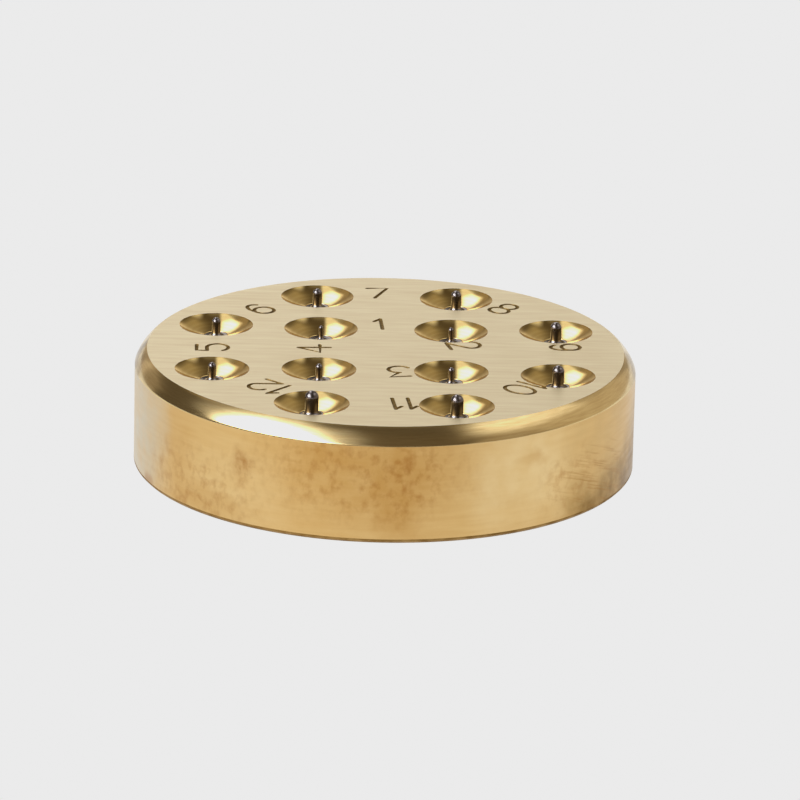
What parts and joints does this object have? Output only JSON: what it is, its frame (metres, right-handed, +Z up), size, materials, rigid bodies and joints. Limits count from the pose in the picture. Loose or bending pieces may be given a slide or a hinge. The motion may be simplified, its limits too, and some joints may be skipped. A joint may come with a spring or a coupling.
{
  "type": "beading block",
  "caption": "Round brass block with numbered hollow recesses, each holding a graded ball-ended steel nib that re-forms the cup of a beading tool.",
  "frame": {"origin": "middle of the underside, on the surface that the block stands on", "axes": "+Z up through the numbered face; -Y towards the person who reads the 7 at the far side of the face the right way up, +X to their right"},
  "size_m": [0.054, 0.054, 0.0138],
  "materials": {
    "turned_brass": "turned brass, grained on the numbered face and lightly tarnished on the side",
    "hardened_steel": "hardened tool steel, polished"
  },
  "bodies": {
    "root": {"brass_block": "turned_brass", "nib_pin_1": "hardened_steel", "nib_pin_2": "hardened_steel", "nib_pin_3": "hardened_steel", "nib_pin_4": "hardened_steel", "nib_pin_5": "hardened_steel", "nib_pin_6": "hardened_steel", "nib_pin_7": "hardened_steel", "nib_pin_8": "hardened_steel", "nib_pin_9": "hardened_steel", "nib_pin_10": "hardened_steel", "nib_pin_11": "hardened_steel", "nib_pin_12": "hardened_steel"}
  },
  "joints": []
}
